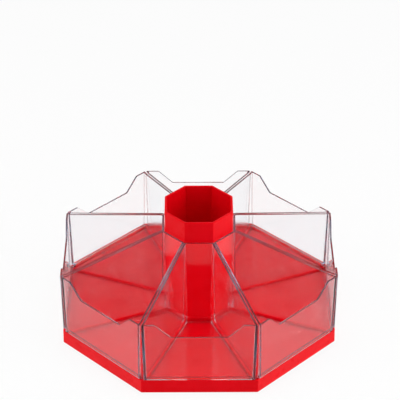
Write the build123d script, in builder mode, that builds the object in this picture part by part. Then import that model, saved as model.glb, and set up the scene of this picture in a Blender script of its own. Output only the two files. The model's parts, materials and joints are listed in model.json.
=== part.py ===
# Rotating desk caddy: lift-out wedge bins stand round a centre cup on an octagonal tray,
# and the tray turns on a ring of balls over a foot plate that stays still on the desk.
# Millimetres and degrees. The origin is on the turning axis at desk level, +Z is up, -Y is the front.
from build123d import *

import os
from math import atan2, cos, radians, sin, tan

os.makedirs("parts", exist_ok=True)

# Plan shared by the tray, the ring of bins and the cup
side_count = 8

# Base tray
base_across_corners = 300.0
base_draft = 1.0
base_wall = 2.0
base_corner_round = 1.5
base_inside_round = 0.8
desk_gap = 2.0
tray_floor = 2.5
lip_depth = 6.2
lip_round = 0.6
divider_width = 1.6
divider_height = 4.5
collar_wall = 1.6
collar_height = 5.0
skirt_rib_width = 1.6
skirt_rib_setback = 1.5
hub_wall = 3.0
hub_rise = 1.0

# Bins
bin_wall = 1.8
bin_floor = 2.0
bin_seat_gap = 0.2
bin_post_height = 73.4
bin_inner_height = 99.0
bin_draft = 1.0
bin_outer_draft = 0.5
bin_side_gap = 0.5
bin_cup_gap = 1.3
bin_setback = 0.15
bin_lip_clearance = 0.5
bin_step_clearance = 0.3
bin_corner_round = 0.8
bin_inside_round = 0.6
bin_post_land = 5.0
bin_inner_land = 4.0
bin_rim_round = 0.5
dip_depth = 14.5
dip_from_corner = 14.4
dip_slope_run = 15.2
dip_round = 1.8
slope_crease_run = 0.75
rim_trim = 2.0

# Centre cup
cup_across_flats = 69.0
cup_height = 122.0
cup_wall = 2.2
cup_floor = 2.5
cup_draft = 1.0
cup_corner_round = 1.2
cup_inside_round = 0.8
cup_rim_round = 0.7
cup_seat_clearance = 0.2
cup_head_room = 3.2
cup_boss_radius = 4.0
cup_boss_gap = 2.0

# Foot plate
plate_to_skirt = 26.0
plate_thickness = 2.6
plate_edge_round = 0.8
plate_rib_gap = 3.0
spigot_radius = 8.0
pivot_clearance = 0.08
hub_clearance = 0.6
end_play = 0.2
pocket_depth = 0.8
pocket_inner_radius = 26.0
pocket_to_race = 9.0
spoke_count = 6
spoke_width = 12.0

# Ball ring
ball_diameter = 4.0
ball_count = 24
ball_circle_inset = 25.0
race_depth = 0.9
race_clearance = 0.1
race_rib_width = 10.0
race_rib_height = 2.3
cage_width = 9.0
cage_gap = 0.5
cage_clearance = 0.15

# Rubber feet
pad_count = 6
pad_radius = 8.0
pad_height = 2.2
pad_recess = 1.0
pad_inset = 4.0
pad_clearance = 0.1
pad_round = 0.6

# Washer and screws
washer_thickness = 1.2
washer_overhang = 4.0
pivot_screw_radius = 2.0
pivot_head_radius = 4.0
pivot_head_height = 2.4
pivot_tip_wall = 2.2
cup_screw_count = 4
cup_screw_radius = 1.5
cup_screw_head_radius = 3.0
cup_screw_head_height = 2.0
cup_screw_tip_gap = 1.5
screw_clearance = 0.05
screw_hole_clearance = 0.3
screw_tip_gap = 0.5
screw_tip_chamfer = 0.5
screw_head_round = 1.0
screw_recess_width = 0.9
screw_recess_depth = 1.2
screw_recess_margin = 1.2

# How far an edge may lean and still be picked as upright, and how far off a level it may lie
upright_angle = 25.0
level = 0.01


def lean(angle, height):
    """Sideways run of a face that leans by an angle over a height."""
    return height * tan(radians(angle))


# Levels, from the desk up
plate_bottom = pad_height - pad_recess
plate_top = plate_bottom + plate_thickness
groove_radius = ball_diameter / 2 + race_clearance
ball_centre = plate_top - race_depth + groove_radius
race_rib_bottom = ball_centre + groove_radius - race_depth
floor_bottom = race_rib_bottom + race_rib_height
floor_top = floor_bottom + tray_floor
lip_top = floor_top + lip_depth
hub_bottom = plate_top + hub_clearance
hub_top = floor_top + hub_rise
spigot_top = hub_top + end_play
washer_top = spigot_top + washer_thickness
cup_floor_bottom = washer_top + pivot_head_height + cup_head_room
cup_floor_top = cup_floor_bottom + cup_floor
cup_top = floor_top + cup_height
bin_bottom = floor_top + bin_seat_gap
bin_floor_top = bin_bottom + bin_floor
bin_step = lip_top + bin_step_clearance
bin_ledge = bin_step + bin_wall
bin_post_top = bin_bottom + bin_post_height
bin_top = bin_bottom + bin_inner_height
dip_bottom = bin_post_top - dip_depth

# Angles and distances from the axis
half_angle = 180 / side_count
front_angle = -90
corner_angle = front_angle + half_angle
base_bottom_apothem = base_across_corners / 2 * cos(radians(half_angle))


def base_apothem(height):
    """Distance from the axis to a flat of the base's outside."""
    return base_bottom_apothem - lean(base_draft, height - desk_gap)


def cup_apothem(height):
    """Distance from the axis to a flat of the cup's outside."""
    return cup_across_flats / 2 - lean(cup_draft, cup_top - height)


def bin_outer_apothem(height):
    """Distance from the axis to the outer wall of a bin, above the lip."""
    return base_apothem(lip_top) - bin_setback + lean(bin_outer_draft, height - lip_top)


def bin_foot_apothem(height):
    """Distance from the axis to the outer wall of a bin, inside the lip."""
    return recess_apothem - bin_lip_clearance - lean(bin_outer_draft, bin_step - height)


def bin_inner_apothem(height):
    """Distance from the axis to the inner wall of a bin."""
    return cup_apothem(bin_top) + bin_cup_gap + lean(bin_draft, bin_top - height)


def corner_radius(apothem):
    """Distance from the axis to a corner of the plan whose flats lie at an apothem."""
    return apothem / cos(radians(half_angle))


recess_apothem = base_apothem(lip_top) - base_wall
skirt_inside = base_apothem(floor_bottom) - base_wall
collar_inside = cup_apothem(floor_top + collar_height) + cup_seat_clearance
plate_radius = base_bottom_apothem - base_wall - plate_to_skirt
ball_circle_radius = plate_radius - ball_circle_inset
pad_circle_radius = plate_radius - pad_inset - pad_radius
hub_radius = spigot_radius + hub_wall
cup_screw_circle_radius = cup_apothem(floor_top) - cup_wall - cup_boss_gap - cup_boss_radius


def octagon(apothem, height):
    """Section of the shared plan at one level, with a flat to the front."""
    with BuildSketch(Plane.XY.offset(height)) as section:
        RegularPolygon(corner_radius(apothem), side_count, rotation=corner_angle)
    return section.sketch


def flat_sided(lower, upper):
    """Solid with flat sides between two level outlines whose corners match."""
    sides = [
        (lower[index - 1], lower[index], upper[index], upper[index - 1]) for index in range(len(lower))
    ]
    return Solid(Shell([Face(Wire.make_polygon(outline)) for outline in (lower, upper, *sides)]))


def octagon_block(low, high, apothem, inset):
    """Solid between two levels of the shared plan, set in from its outside by a wall."""
    outlines = []
    for height in (low, high):
        reach = corner_radius(apothem(height) - inset)
        turns = [radians(corner_angle + 2 * half_angle * index) for index in range(side_count)]
        outlines.append([(reach * cos(turn), reach * sin(turn), height) for turn in turns])
    return flat_sided(*outlines)


def wedge_outline(height, outer_apothem, inset):
    """Corners of the front bin at one level, set in from its outside by a wall."""
    inner = bin_inner_apothem(height) + inset
    outer = outer_apothem - inset
    side_gap = bin_side_gap / 2 + lean(bin_draft, bin_top - height) + inset
    half_inner = (inner * sin(radians(half_angle)) - side_gap) / cos(radians(half_angle))
    half_outer = (outer * sin(radians(half_angle)) - side_gap) / cos(radians(half_angle))
    return [
        (-half_outer, -outer, height),
        (half_outer, -outer, height),
        (half_inner, -inner, height),
        (-half_inner, -inner, height),
    ]


def upright(edge):
    """True for an edge that runs up a corner."""
    return abs((edge % 0.5).Z) > cos(radians(upright_angle))


def at_height(height):
    """A test that picks the edges lying at one level."""
    return lambda edge: abs(edge.center().Z - height) < level and not upright(edge)


def wedge_block(low, high, outer_apothem, inset, corner_round, bottom_round):
    """Solid between two levels of the front bin, with its corners and its bottom edges rounded."""
    outlines = [wedge_outline(height, outer_apothem(height), inset) for height in (low, high)]
    with BuildPart() as block:
        add(flat_sided(*outlines))
        fillet(block.edges().filter_by(upright), corner_round)
        if bottom_round:
            fillet(block.edges().filter_by(at_height(low)), bottom_round)
    return block.part


def pan_head_screws(seat, circle_radius, count, radius, length, head_radius, head_height):
    """Cross-head screws with their heads seated on a plane and their shanks behind it."""
    slot_length = 2 * (head_radius - screw_recess_margin)
    tip_height = seat.offset(-length).origin.Z
    crown_height = seat.offset(head_height).origin.Z
    with BuildPart(seat) as screws:
        with PolarLocations(circle_radius, count):
            Cylinder(radius, length, align=(Align.CENTER, Align.CENTER, Align.MAX))
            Cylinder(head_radius, head_height, align=(Align.CENTER, Align.CENTER, Align.MIN))
        chamfer(screws.edges().filter_by(at_height(tip_height)), screw_tip_chamfer)
        fillet(screws.edges().filter_by(at_height(crown_height)), screw_head_round)
        with BuildSketch(seat.offset(head_height)):
            with PolarLocations(circle_radius, count):
                Rectangle(slot_length, screw_recess_width)
                Rectangle(screw_recess_width, slot_length)
        extrude(amount=-screw_recess_depth, mode=Mode.SUBTRACT)
    return screws.part


# Hollow inside the lip and hollow under the floor of the tray
with BuildPart() as tray_hollows:
    extrude(octagon(recess_apothem, floor_top), amount=lip_depth)
    add(octagon_block(desk_gap, floor_bottom, base_apothem, base_wall))
    fillet(tray_hollows.edges().filter_by(upright), base_inside_round)

# Base tray: skirt, floor and lip in one moulding
with BuildPart() as base_tray:
    add(octagon_block(desk_gap, lip_top, base_apothem, 0))
    fillet(base_tray.edges().filter_by(upright), base_corner_round)
    add(tray_hollows.part, mode=Mode.SUBTRACT)
    for edge_height in (lip_top, desk_gap):
        fillet(base_tray.edges().filter_by(at_height(edge_height)), min(lip_round, base_wall / 3))
    # Collar that the cup drops into
    with BuildSketch(Plane.XY.offset(floor_top)):
        add(octagon(collar_inside + collar_wall, 0))
        add(octagon(collar_inside, 0), mode=Mode.SUBTRACT)
    extrude(amount=collar_height)
    # Dividers between the bins, from the collar to the lip
    divider_start = corner_radius(collar_inside) + collar_wall / 2
    divider_end = corner_radius(recess_apothem) + base_wall / 2
    with BuildSketch(Plane.XY.offset(floor_top)):
        with PolarLocations((divider_start + divider_end) / 2, side_count, corner_angle):
            Rectangle(divider_end - divider_start, divider_width)
    extrude(amount=divider_height)
    # Stiffening ribs under the rim, to the corners and to the flats
    rib_start = plate_radius + plate_rib_gap
    for rib_end, first_angle in ((corner_radius(skirt_inside), corner_angle), (skirt_inside, front_angle)):
        rib_length = rib_end + base_wall / 2 - rib_start
        with BuildSketch(Plane.XY.offset(desk_gap + skirt_rib_setback)):
            with PolarLocations(rib_start + rib_length / 2, side_count, first_angle):
                Rectangle(rib_length, skirt_rib_width)
        extrude(amount=floor_bottom - desk_gap - skirt_rib_setback)
    # Rib with the upper race in it
    with BuildSketch(Plane.XY.offset(race_rib_bottom)):
        Circle(ball_circle_radius + race_rib_width / 2)
        Circle(ball_circle_radius - race_rib_width / 2, mode=Mode.SUBTRACT)
    extrude(amount=race_rib_height)
    with BuildSketch(Plane.XZ):
        with Locations((ball_circle_radius, ball_centre)):
            Circle(groove_radius)
    revolve(axis=Axis.Z, mode=Mode.SUBTRACT)
    # Hub that turns on the spigot
    with BuildSketch(Plane.XY.offset(hub_bottom)):
        Circle(hub_radius)
    extrude(amount=hub_top - hub_bottom)
    with BuildSketch(Plane.XY.offset(hub_bottom)):
        Circle(spigot_radius + pivot_clearance)
    extrude(amount=hub_top - hub_bottom, mode=Mode.SUBTRACT)
    # Holes for the cup screws
    with BuildSketch(Plane.XY.offset(floor_bottom)):
        with PolarLocations(cup_screw_circle_radius, cup_screw_count):
            Circle(cup_screw_radius + screw_hole_clearance)
    extrude(amount=tray_floor, mode=Mode.SUBTRACT)
base_tray.part.label = "base_tray"
export_step(base_tray.part, "parts/base_tray.step")

# Hollow of the cup above its floor
with BuildPart() as cup_hollow:
    add(octagon_block(cup_floor_top, cup_top, cup_apothem, cup_wall))
    fillet(cup_hollow.edges().filter_by(upright), cup_inside_round)
    fillet(cup_hollow.edges().filter_by(at_height(cup_floor_top)), cup_inside_round)

# Centre cup: walls down to the tray, a raised floor and screw bosses under it
with BuildPart() as centre_cup:
    add(octagon_block(floor_top, cup_top, cup_apothem, 0))
    fillet(centre_cup.edges().filter_by(upright), cup_corner_round)
    add(cup_hollow.part, mode=Mode.SUBTRACT)
    add(octagon_block(floor_top, cup_floor_bottom, cup_apothem, cup_wall), mode=Mode.SUBTRACT)
    fillet(centre_cup.edges().filter_by(at_height(cup_top)), min(cup_rim_round, cup_wall / 3))
    for boss_radius, boss_mode in (
        (cup_boss_radius, Mode.ADD),
        (cup_screw_radius + screw_clearance, Mode.SUBTRACT),
    ):
        with BuildSketch(Plane.XY.offset(floor_top)):
            with PolarLocations(cup_screw_circle_radius, cup_screw_count):
                Circle(boss_radius)
        extrude(amount=cup_floor_bottom - floor_top, mode=boss_mode)
centre_cup.part.label = "centre_cup"
export_step(centre_cup.part, "parts/centre_cup.step")

# Front bin: a foot that nests inside the lip and a wider body over it
outer_round = bin_corner_round
inner_round = bin_inside_round
trim_top = bin_top + rim_trim
foot_block = wedge_block(bin_bottom, bin_step, bin_foot_apothem, 0, outer_round, inner_round)
foot_hollow = wedge_block(bin_floor_top, bin_ledge, bin_foot_apothem, bin_wall, inner_round, inner_round)
upper_block = wedge_block(bin_step, trim_top, bin_outer_apothem, 0, outer_round, 0)
upper_hollow = wedge_block(bin_ledge, trim_top, bin_outer_apothem, bin_wall, inner_round, 0)
with BuildPart() as front_bin:
    add(foot_block)
    add(upper_block)
    add(foot_hollow, mode=Mode.SUBTRACT)
    add(upper_hollow, mode=Mode.SUBTRACT)
    # Rim trimmed so that the side walls slope from the inner wall down to the outer corners
    slope_start = bin_inner_apothem(bin_top) + bin_inner_land
    slope_end = bin_outer_apothem(bin_post_top) - bin_post_land
    slope_lean = atan2(bin_top - bin_post_top, slope_end - slope_start)
    outside = bin_outer_apothem(trim_top) + bin_wall
    with BuildSketch(Plane.YZ) as trimming:
        with BuildLine():
            Polyline(
                (0, bin_top),
                (-slope_start, bin_top),
                (-slope_end, bin_post_top),
                (-outside, bin_post_top),
                (-outside, trim_top),
                (0, trim_top),
                close=True,
            )
        make_face()
        slope_creases = trimming.vertices().filter_by(
            lambda corner: min(abs(corner.X + slope_start), abs(corner.X + slope_end)) < level
        )
        fillet(slope_creases, slope_crease_run / tan(slope_lean / 2))
    extrude(amount=outside, both=True, mode=Mode.SUBTRACT)
    # Dip in the outer wall
    dip_top_half = lean(half_angle, bin_outer_apothem(bin_post_top)) - dip_from_corner
    dip_bottom_half = dip_top_half - dip_slope_run
    with BuildSketch(Plane.XZ.offset(slope_end)):
        with BuildLine():
            Polyline(
                (-dip_bottom_half, dip_bottom),
                (dip_bottom_half, dip_bottom),
                (dip_top_half, bin_post_top),
                (-dip_top_half, bin_post_top),
                close=True,
            )
        make_face()
    extrude(amount=outside - slope_end, mode=Mode.SUBTRACT)
    dip_creases = front_bin.edges().filter_by(Axis.Y).filter_by(lambda edge: edge.center().Z > bin_ledge)
    fillet(dip_creases, dip_round)
    # Soft edges along both sides of the rim
    looks_up = sin(radians(upright_angle))
    rim_faces = front_bin.faces().filter_by(
        lambda face: face.bounding_box().min.Z > dip_bottom - level and face.normal_at().Z > looks_up
    )
    rim_edges = ShapeList(edge for face in rim_faces for edge in face.edges())
    rim_outline = rim_edges.filter_by(lambda edge: sum(edge.is_same(other) for other in rim_edges) == 1)
    fillet(rim_outline, min(bin_rim_round, bin_wall / 3))

# The bins are alike, counted from the front towards +X
for index in range(side_count):
    turned_bin = front_bin.part.rotate(Axis.Z, 2 * half_angle * index)
    turned_bin.label = f"bin_{index + 1}"
    export_step(turned_bin, f"parts/bin_{index + 1}.step")

# Foot plate: a disc with the lower race, the spigot, seats for the feet and pockets underneath
with BuildPart() as foot_plate:
    with BuildSketch(Plane.XY.offset(plate_bottom)):
        Circle(plate_radius)
    extrude(amount=plate_thickness)
    fillet(foot_plate.edges().filter_by(GeomType.CIRCLE), plate_edge_round)
    with BuildSketch(Plane.XY.offset(plate_top)):
        Circle(spigot_radius)
    extrude(amount=spigot_top - plate_top)
    with BuildSketch(Plane.XZ):
        with Locations((ball_circle_radius, ball_centre)):
            Circle(groove_radius)
    revolve(axis=Axis.Z, mode=Mode.SUBTRACT)
    # Hole for the pivot screw
    pilot_bottom = plate_bottom + pivot_tip_wall
    with BuildSketch(Plane.XY.offset(pilot_bottom)):
        Circle(pivot_screw_radius + screw_clearance)
    extrude(amount=spigot_top - pilot_bottom, mode=Mode.SUBTRACT)
    # Seats for the rubber feet
    with BuildSketch(Plane.XY.offset(plate_bottom)):
        with PolarLocations(pad_circle_radius, pad_count):
            Circle(pad_radius + pad_clearance)
    extrude(amount=pad_recess, mode=Mode.SUBTRACT)
    # Pockets between the spokes
    pocket_outer_radius = ball_circle_radius - pocket_to_race
    with BuildSketch(Plane.XY.offset(plate_bottom)):
        Circle(pocket_outer_radius)
        Circle(pocket_inner_radius, mode=Mode.SUBTRACT)
        with PolarLocations(pocket_outer_radius / 2, spoke_count):
            Rectangle(pocket_outer_radius, spoke_width, mode=Mode.SUBTRACT)
    extrude(amount=pocket_depth, mode=Mode.SUBTRACT)
foot_plate.part.label = "foot_plate"
export_step(foot_plate.part, "parts/foot_plate.step")

# Rubber feet, all alike
with BuildPart() as rubber_foot:
    with BuildSketch():
        with Locations((pad_circle_radius, 0)):
            Circle(pad_radius)
    extrude(amount=pad_height)
    fillet(rubber_foot.edges().filter_by(at_height(0)), pad_round)
for index in range(pad_count):
    turned_foot = rubber_foot.part.rotate(Axis.Z, 360 / pad_count * index)
    turned_foot.label = f"rubber_foot_{index + 1}"
    export_step(turned_foot, f"parts/rubber_foot_{index + 1}.step")

# Balls between the two races
with BuildPart(Plane.XY.offset(ball_centre)) as bearing_balls:
    with PolarLocations(ball_circle_radius, ball_count):
        Sphere(ball_diameter / 2)
bearing_balls.part.label = "bearing_balls"
export_step(bearing_balls.part, "parts/bearing_balls.step")

# Flat cage that spaces the balls
cage_bottom = plate_top + cage_gap
with BuildPart() as ball_cage:
    with BuildSketch(Plane.XY.offset(cage_bottom)):
        Circle(ball_circle_radius + cage_width / 2)
        Circle(ball_circle_radius - cage_width / 2, mode=Mode.SUBTRACT)
        with PolarLocations(ball_circle_radius, ball_count):
            Circle(ball_diameter / 2 + cage_clearance, mode=Mode.SUBTRACT)
    extrude(amount=race_rib_bottom - cage_gap - cage_bottom)
ball_cage.part.label = "ball_cage"
export_step(ball_cage.part, "parts/ball_cage.step")

# Washer on the spigot, over the hub
with BuildPart() as pivot_washer:
    with BuildSketch(Plane.XY.offset(spigot_top)):
        Circle(spigot_radius + washer_overhang)
        Circle(pivot_screw_radius + screw_hole_clearance, mode=Mode.SUBTRACT)
    extrude(amount=washer_thickness)
pivot_washer.part.label = "pivot_washer"
export_step(pivot_washer.part, "parts/pivot_washer.step")

# Screw that holds the washer down on the spigot
pivot_screw = pan_head_screws(
    Plane.XY.offset(washer_top),
    circle_radius=0,
    count=1,
    radius=pivot_screw_radius,
    length=washer_top - pilot_bottom - screw_tip_gap,
    head_radius=pivot_head_radius,
    head_height=pivot_head_height,
)
pivot_screw.label = "pivot_screw"
export_step(pivot_screw, "parts/pivot_screw.step")

# Screws that hold the cup, driven up through the tray
cup_screws = pan_head_screws(
    Plane(origin=(0, 0, floor_bottom), z_dir=(0, 0, -1)),
    circle_radius=cup_screw_circle_radius,
    count=cup_screw_count,
    radius=cup_screw_radius,
    length=cup_floor_bottom - cup_screw_tip_gap - floor_bottom,
    head_radius=cup_screw_head_radius,
    head_height=cup_screw_head_height,
)
cup_screws.label = "cup_screws"
export_step(cup_screws, "parts/cup_screws.step")
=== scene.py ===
import json
from math import radians

import bpy
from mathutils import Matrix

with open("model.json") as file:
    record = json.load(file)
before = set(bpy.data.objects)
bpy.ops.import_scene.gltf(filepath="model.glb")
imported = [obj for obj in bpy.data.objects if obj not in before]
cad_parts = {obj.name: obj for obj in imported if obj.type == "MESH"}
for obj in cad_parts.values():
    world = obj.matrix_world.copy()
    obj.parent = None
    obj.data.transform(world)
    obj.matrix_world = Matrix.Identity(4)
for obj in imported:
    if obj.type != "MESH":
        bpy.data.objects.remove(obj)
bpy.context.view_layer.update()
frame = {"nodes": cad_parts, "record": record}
nodes = frame["nodes"]
scene = bpy.context.scene

# Node helpers: textures read object coordinates, so scales are per metre and distances are metres


def new_material(name):
    """A material with its node tree and its main shader."""
    material = bpy.data.materials.new(name)
    material.use_nodes = True
    tree = material.node_tree
    return material, tree, tree.nodes["Principled BSDF"]


def object_coordinates(tree, stretch):
    """Coordinates fixed to the piece, in metres, scaled along each axis."""
    source = tree.nodes.new("ShaderNodeTexCoord")
    mapping = tree.nodes.new("ShaderNodeMapping")
    mapping.inputs["Scale"].default_value = stretch
    tree.links.new(source.outputs["Object"], mapping.inputs["Vector"])
    return mapping.outputs["Vector"]


def noise(tree, scale, detail, stretch=(1, 1, 1), distortion=0.0):
    """Height of a noise pattern."""
    texture = tree.nodes.new("ShaderNodeTexNoise")
    texture.inputs["Scale"].default_value = scale
    texture.inputs["Detail"].default_value = detail
    texture.inputs["Distortion"].default_value = distortion
    tree.links.new(object_coordinates(tree, stretch), texture.inputs["Vector"])
    return texture.outputs["Fac"]


def spread(tree, height, low, high, start=0.3, end=0.7):
    """A height mapped to a range of values."""
    mapped = tree.nodes.new("ShaderNodeMapRange")
    mapped.inputs["From Min"].default_value = start
    mapped.inputs["From Max"].default_value = end
    mapped.inputs["To Min"].default_value = low
    mapped.inputs["To Max"].default_value = high
    tree.links.new(height, mapped.inputs["Value"])
    return mapped.outputs["Result"]


def combine(tree, operation, first, second):
    """Two values joined by arithmetic."""
    node = tree.nodes.new("ShaderNodeMath")
    node.operation = operation
    tree.links.new(first, node.inputs[0])
    tree.links.new(second, node.inputs[1])
    return node.outputs["Value"]


def colours(tree, height, *stops):
    """A height turned into colours, each stop a position and a linear colour."""
    ramp = tree.nodes.new("ShaderNodeValToRGB")
    elements = ramp.color_ramp.elements
    while len(elements) < len(stops):
        elements.new(0.5)
    for element, (position, colour) in zip(elements, stops):
        element.position = position
        element.color = (*colour, 1)
    tree.links.new(height, ramp.inputs["Fac"])
    return ramp.outputs["Color"]


def bump(tree, shader, height, distance, below=None):
    """Relief from a height, laid over another relief."""
    node = tree.nodes.new("ShaderNodeBump")
    node.inputs["Distance"].default_value = distance
    tree.links.new(height, node.inputs["Height"])
    if below is not None:
        tree.links.new(below, node.inputs["Normal"])
    tree.links.new(node.outputs["Normal"], shader.inputs["Normal"])
    return node.outputs["Normal"]


# Materials


def clear_plastic():
    """Clear polystyrene, with handling haze, hairline scratches and a moulded ripple."""
    material, tree, shader = new_material("clear polystyrene")
    shader.inputs["Transmission Weight"].default_value = 1.0
    shader.inputs["IOR"].default_value = 1.57
    # The walls in the photograph hardly mirror the floor
    shader.inputs["Specular Tint"].default_value = (0.22, 0.22, 0.22, 1)
    haze = noise(tree, scale=38, detail=4, distortion=0.6)
    tree.links.new(
        colours(tree, haze, (0.25, (0.999, 0.998, 0.999)), (0.75, (0.99, 0.989, 0.993))),
        shader.inputs["Base Color"],
    )
    scratches = noise(tree, scale=900, detail=3, stretch=(1, 1, 0.06))
    dull_patches = spread(tree, haze, low=0.0, high=0.03, start=0.4, end=0.8)
    dull_scratches = spread(tree, scratches, low=0.0, high=0.09, start=0.66, end=0.74)
    tree.links.new(
        combine(tree, "MAXIMUM", dull_patches, dull_scratches),
        shader.inputs["Roughness"],
    )
    ripple = bump(tree, shader, noise(tree, scale=24, detail=1), distance=0.00012)
    bump(tree, shader, scratches, distance=0.000004, below=ripple)
    # Absorption darkens the long paths along rims and posts and hardly shows across a wall
    absorption = tree.nodes.new("ShaderNodeVolumeAbsorption")
    absorption.inputs["Color"].default_value = (0.32, 0.44, 0.58, 1)
    absorption.inputs["Density"].default_value = 13.0
    tree.links.new(absorption.outputs["Volume"], tree.nodes["Material Output"].inputs["Volume"])
    return material


def red_plastic():
    """Red moulded plastic, satin, with fine grain and soft flow marks."""
    material, tree, shader = new_material("red moulded plastic")
    shader.inputs["IOR"].default_value = 1.49
    shader.inputs["Specular IOR Level"].default_value = 0.14
    shader.inputs["Specular Tint"].default_value = (1.0, 0.2, 0.25, 1)
    flow = noise(tree, scale=22, detail=3, stretch=(1, 1, 0.35), distortion=0.8)
    tree.links.new(
        colours(tree, flow, (0.25, (0.76, 0.0006, 0.005)), (0.75, (0.82, 0.0012, 0.008))),
        shader.inputs["Base Color"],
    )
    grain = noise(tree, scale=2600, detail=2)
    smudge = noise(tree, scale=55, detail=3)
    satin = spread(tree, smudge, low=0.24, high=0.34)
    tooth = spread(tree, grain, low=-0.02, high=0.03)
    tree.links.new(combine(tree, "ADD", satin, tooth), shader.inputs["Roughness"])
    wave = bump(tree, shader, flow, distance=0.00015)
    bump(tree, shader, grain, distance=0.00002, below=wave)
    return material


def black_plastic():
    """Black plate plastic with a spark-eroded grain."""
    material, tree, shader = new_material("black moulded plastic")
    grain = noise(tree, scale=1800, detail=3)
    cloud = noise(tree, scale=40, detail=3)
    tree.links.new(
        colours(tree, cloud, (0.3, (0.012, 0.012, 0.013)), (0.7, (0.024, 0.024, 0.026))),
        shader.inputs["Base Color"],
    )
    tree.links.new(spread(tree, grain, low=0.42, high=0.6), shader.inputs["Roughness"])
    bump(tree, shader, grain, distance=0.00006)
    return material


def rubber():
    """Dark grey rubber with a stippled skin and dust."""
    material, tree, shader = new_material("dark rubber")
    stipple = noise(tree, scale=1400, detail=1)
    dust = noise(tree, scale=260, detail=4)
    tree.links.new(
        colours(tree, dust, (0.45, (0.02, 0.02, 0.021)), (0.8, (0.075, 0.072, 0.068))),
        shader.inputs["Base Color"],
    )
    tree.links.new(spread(tree, dust, low=0.7, high=0.92), shader.inputs["Roughness"])
    bump(tree, shader, stipple, distance=0.00012)
    return material


def ball_steel():
    """Polished bearing steel with faint rolling marks."""
    material, tree, shader = new_material("bearing steel")
    shader.inputs["Metallic"].default_value = 1.0
    marks = noise(tree, scale=1500, detail=4, stretch=(1, 1, 0.2))
    tree.links.new(
        colours(tree, marks, (0.3, (0.56, 0.57, 0.58)), (0.7, (0.66, 0.67, 0.68))),
        shader.inputs["Base Color"],
    )
    tree.links.new(spread(tree, marks, low=0.1, high=0.22), shader.inputs["Roughness"])
    bump(tree, shader, marks, distance=0.000006)
    return material


def white_plastic():
    """Milky nylon with a fine matt grain."""
    material, tree, shader = new_material("white nylon")
    shader.inputs["Subsurface Weight"].default_value = 0.15
    shader.inputs["Subsurface Radius"].default_value = (0.002, 0.0018, 0.0015)
    cloud = noise(tree, scale=120, detail=3)
    grain = noise(tree, scale=2400, detail=2)
    tree.links.new(
        colours(tree, cloud, (0.3, (0.72, 0.71, 0.67)), (0.7, (0.8, 0.79, 0.76))),
        shader.inputs["Base Color"],
    )
    tree.links.new(spread(tree, grain, low=0.38, high=0.52), shader.inputs["Roughness"])
    bump(tree, shader, grain, distance=0.00003)
    return material


def zinc_steel():
    """Zinc plated screw steel with a brushed, slightly cloudy skin."""
    material, tree, shader = new_material("zinc plated steel")
    shader.inputs["Metallic"].default_value = 1.0
    cloud = noise(tree, scale=700, detail=4)
    brush = noise(tree, scale=3000, detail=2, stretch=(1, 0.08, 1))
    tree.links.new(
        colours(tree, cloud, (0.3, (0.46, 0.47, 0.48)), (0.7, (0.6, 0.6, 0.58))),
        shader.inputs["Base Color"],
    )
    tree.links.new(spread(tree, brush, low=0.24, high=0.42), shader.inputs["Roughness"])
    bump(tree, shader, brush, distance=0.00001)
    return material


finishes = {
    "clear_plastic": clear_plastic(),
    "red_plastic": red_plastic(),
    "black_plastic": black_plastic(),
    "rubber": rubber(),
    "ball_steel": ball_steel(),
    "white_plastic": white_plastic(),
    "zinc_steel": zinc_steel(),
}

# Each piece takes the finish of its material slot in the record
for subpart in frame["record"]["subparts"]:
    piece = nodes[subpart["node"]]
    piece.data.materials.clear()
    piece.data.materials.append(finishes[subpart["material_slot"]])

# Studio


def seen_rays(tree):
    """1 for rays that reach the eye straight, by a reflection or through something clear."""
    path = tree.nodes.new("ShaderNodeLightPath")
    direct = path.outputs["Is Camera Ray"]
    mirrored = combine(tree, "MAXIMUM", direct, path.outputs["Is Glossy Ray"])
    return combine(tree, "MAXIMUM", mirrored, path.outputs["Is Transmission Ray"])


def mix_shaders(tree, share, first, second, surface):
    """Two shaders mixed by a share of the second and joined to the output."""
    blend = tree.nodes.new("ShaderNodeMixShader")
    tree.links.new(share, blend.inputs["Fac"])
    tree.links.new(first, blend.inputs[1])
    tree.links.new(second, blend.inputs[2])
    tree.links.new(blend.outputs["Shader"], surface)


# Floor: mostly an even white where it is seen, so that it keeps a faint shadow of the object
floor_half = 6.0
floor_white_share = 0.9
floor_mesh = bpy.data.meshes.new("floor")
floor_mesh.from_pydata(
    [
        (-floor_half, -floor_half, 0),
        (floor_half, -floor_half, 0),
        (floor_half, floor_half, 0),
        (-floor_half, floor_half, 0),
    ],
    [],
    [(0, 1, 2, 3)],
)
floor = bpy.data.objects.new("floor", floor_mesh)
scene.collection.objects.link(floor)
floor_material, tree, shader = new_material("white floor")
speckle = noise(tree, scale=300, detail=3)
tree.links.new(
    colours(tree, speckle, (0.3, (0.86, 0.86, 0.86)), (0.7, (0.88, 0.88, 0.88))),
    shader.inputs["Base Color"],
)
shader.inputs["Roughness"].default_value = 0.8
shader.inputs["Specular IOR Level"].default_value = 0.1
glow = tree.nodes.new("ShaderNodeEmission")
glow.inputs["Strength"].default_value = 1.0
share = tree.nodes.new("ShaderNodeMath")
share.operation = "MULTIPLY"
share.inputs[1].default_value = floor_white_share
tree.links.new(seen_rays(tree), share.inputs[0])
mix_shaders(
    tree,
    share.outputs["Value"],
    shader.outputs["BSDF"],
    glow.outputs["Emission"],
    tree.nodes["Material Output"].inputs["Surface"],
)
floor_mesh.materials.append(floor_material)

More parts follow.
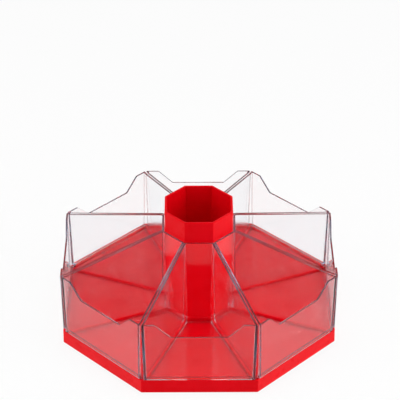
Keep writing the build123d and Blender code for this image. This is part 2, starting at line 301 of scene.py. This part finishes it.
# Room: white low down all round and darker overhead, with a weak even fill for matt surfaces
fill_level = 0.2
world = bpy.data.worlds.new("white room")
scene.world = world
world.use_nodes = True
tree = world.node_tree
direction = tree.nodes.new("ShaderNodeTexCoord")
axes = tree.nodes.new("ShaderNodeSeparateXYZ")
tree.links.new(direction.outputs["Generated"], axes.inputs["Vector"])
room = colours(
    tree,
    axes.outputs["Z"],
    (0.12, (1.0, 1.0, 1.0)),
    (0.4, (0.42, 0.42, 0.43)),
    (0.7, (0.26, 0.26, 0.27)),
)
tree.links.new(room, tree.nodes["Background"].inputs["Color"])
fill = tree.nodes.new("ShaderNodeBackground")
fill.inputs["Color"].default_value = (fill_level, fill_level, fill_level, 1)
mix_shaders(
    tree,
    seen_rays(tree),
    fill.outputs["Background"],
    tree.nodes["Background"].outputs["Background"],
    tree.nodes["World Output"].inputs["Surface"],
)


def softbox(name, place, target, width, height, power):
    """A soft lamp aimed at a point."""
    lamp = bpy.data.lights.new(name, "AREA")
    lamp.shape = "RECTANGLE"
    lamp.size = width
    lamp.size_y = height
    lamp.energy = power
    holder = bpy.data.objects.new(name, lamp)
    holder.location = place
    aim = bpy.data.objects.new(name + "_aim", None)
    aim.location = target
    scene.collection.objects.link(holder)
    scene.collection.objects.link(aim)
    track = holder.constraints.new("TRACK_TO")
    track.target = aim
    track.track_axis = "TRACK_NEGATIVE_Z"
    track.up_axis = "UP_Y"


bins_middle = (0, 0, 0.05)
softbox("right softbox", (1.45, -0.35, 0.7), bins_middle, width=1.8, height=1.4, power=25)
softbox("left softbox", (-1.45, -0.3, 0.7), bins_middle, width=1.8, height=1.4, power=20)
softbox("top softbox", (0, 0.2, 1.8), (0, 0, 0), width=1.4, height=1.4, power=10)

# Camera at the photograph's viewing angle
camera_tilt = 56.59
camera_pan = -0.317
lens = bpy.data.cameras.new("camera")
lens.sensor_width = 36.0
lens.lens = 159.4
lens.clip_start = 0.05
lens.clip_end = 30.0
camera = bpy.data.objects.new("camera", lens)
camera.location = (-0.0070, -1.4898, 1.1204)
camera.rotation_euler = (radians(camera_tilt), 0, radians(camera_pan))
scene.collection.objects.link(camera)
scene.camera = camera

scene.view_settings.view_transform = "Standard"

# Light passes many clear walls on its way, and filtered gloss would turn them milky
clear_wall_bounces = 64
scene.cycles.max_bounces = clear_wall_bounces
scene.cycles.transmission_bounces = clear_wall_bounces
scene.cycles.glossy_bounces = clear_wall_bounces
scene.cycles.diffuse_bounces = 5
scene.cycles.blur_glossy = 0.0
